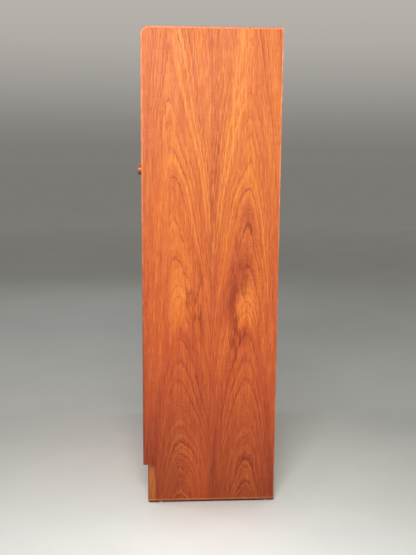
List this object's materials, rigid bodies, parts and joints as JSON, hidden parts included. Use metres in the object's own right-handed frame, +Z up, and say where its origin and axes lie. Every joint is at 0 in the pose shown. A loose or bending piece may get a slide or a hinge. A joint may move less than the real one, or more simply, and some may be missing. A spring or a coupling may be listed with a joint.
{
  "type": "wardrobe with doors",
  "caption": "Tall teak-veneered wardrobe with plain hinged doors, turned knobs, round top front corners and a set-back plinth; hanging space and shelves inside.",
  "frame": {"origin": "centre of the whole wardrobe's footprint, knobs included, on the floor", "axes": "+Z up, doors face -Y, +X on the right of someone who faces the doors"},
  "size_m": [1.07, 0.547, 1.83],
  "materials": {
    "teak_veneer": "book-matched crown-cut teak veneer under a satin varnish",
    "teak_solid": "solid teak lipping, straight grain, satin",
    "plinth_wood": "solid yellow-brown hardwood, satin",
    "interior_wood": "plain sliced veneer, matt",
    "plywood": "thin plywood, unvarnished outside",
    "framing_wood": "pale softwood and beech, raw",
    "knob_wood": "turned teak, satin",
    "rail_brass": "lacquered brass tube",
    "hinge_brass": "aged brass",
    "steel": "zinc-plated steel",
    "catch_plastic": "cream moulded plastic"
  },
  "bodies": {
    "carcase": {"left_side_panel": "teak_veneer", "right_side_panel": "teak_veneer", "top_panel": "teak_veneer", "left_side_edge_band": "teak_solid", "right_side_edge_band": "teak_solid", "left_side_rear_lipping": "teak_solid", "right_side_rear_lipping": "teak_solid", "top_nosing": "teak_solid", "bottom_front_lipping": "teak_solid", "plinth_front_rail": "plinth_wood", "bottom_panel": "interior_wood", "divider_panel": "interior_wood", "hat_shelf": "interior_wood", "lower_shelf": "interior_wood", "middle_shelf": "interior_wood", "upper_shelf": "interior_wood", "back_panel": "plywood", "plinth_back_rail": "framing_wood", "plinth_glue_blocks": "framing_wood", "carcase_dowels": "framing_wood", "hanging_rail": "rail_brass", "left_rail_socket": "rail_brass", "right_rail_socket": "rail_brass", "left_bottom_hinge_frame_leaf": "hinge_brass", "left_middle_hinge_frame_leaf": "hinge_brass", "left_top_hinge_frame_leaf": "hinge_brass", "right_bottom_hinge_frame_leaf": "hinge_brass", "right_middle_hinge_frame_leaf": "hinge_brass", "right_top_hinge_frame_leaf": "hinge_brass", "left_hinge_pins": "hinge_brass", "right_hinge_pins": "hinge_brass", "frame_hinge_screws": "hinge_brass", "back_panel_screws": "steel", "fitting_screws": "steel", "catch_pole_plates": "steel", "shelf_pegs": "steel", "floor_glides": "steel", "left_door_catches": "catch_plastic", "right_door_catches": "catch_plastic"},
    "left_door": {"left_door_panel": "teak_veneer", "left_door_upright_lippings": "teak_solid", "left_door_cross_lippings": "teak_solid", "left_door_knob": "knob_wood", "left_door_screws": "hinge_brass", "left_door_strike_plates": "steel", "left_knob_screw": "steel", "left_bottom_hinge_door_leaf": "hinge_brass", "left_middle_hinge_door_leaf": "hinge_brass", "left_top_hinge_door_leaf": "hinge_brass"},
    "right_door": {"right_door_panel": "teak_veneer", "right_door_upright_lippings": "teak_solid", "right_door_cross_lippings": "teak_solid", "right_door_knob": "knob_wood", "right_door_screws": "hinge_brass", "right_door_strike_plates": "steel", "right_knob_screw": "steel", "right_bottom_hinge_door_leaf": "hinge_brass", "right_middle_hinge_door_leaf": "hinge_brass", "right_top_hinge_door_leaf": "hinge_brass"}
  },
  "joints": [
    {"name": "left_door_hinge", "type": "hinge", "parent": "carcase", "child": "left_door", "pos_m": [-0.516, -0.2418, 0.994], "axis": [0, 0, -1], "range_deg": [0, 130]},
    {"name": "right_door_hinge", "type": "hinge", "parent": "carcase", "child": "right_door", "pos_m": [0.516, -0.2418, 0.994], "axis": [0, 0, 1], "range_deg": [0, 130]}
  ]
}
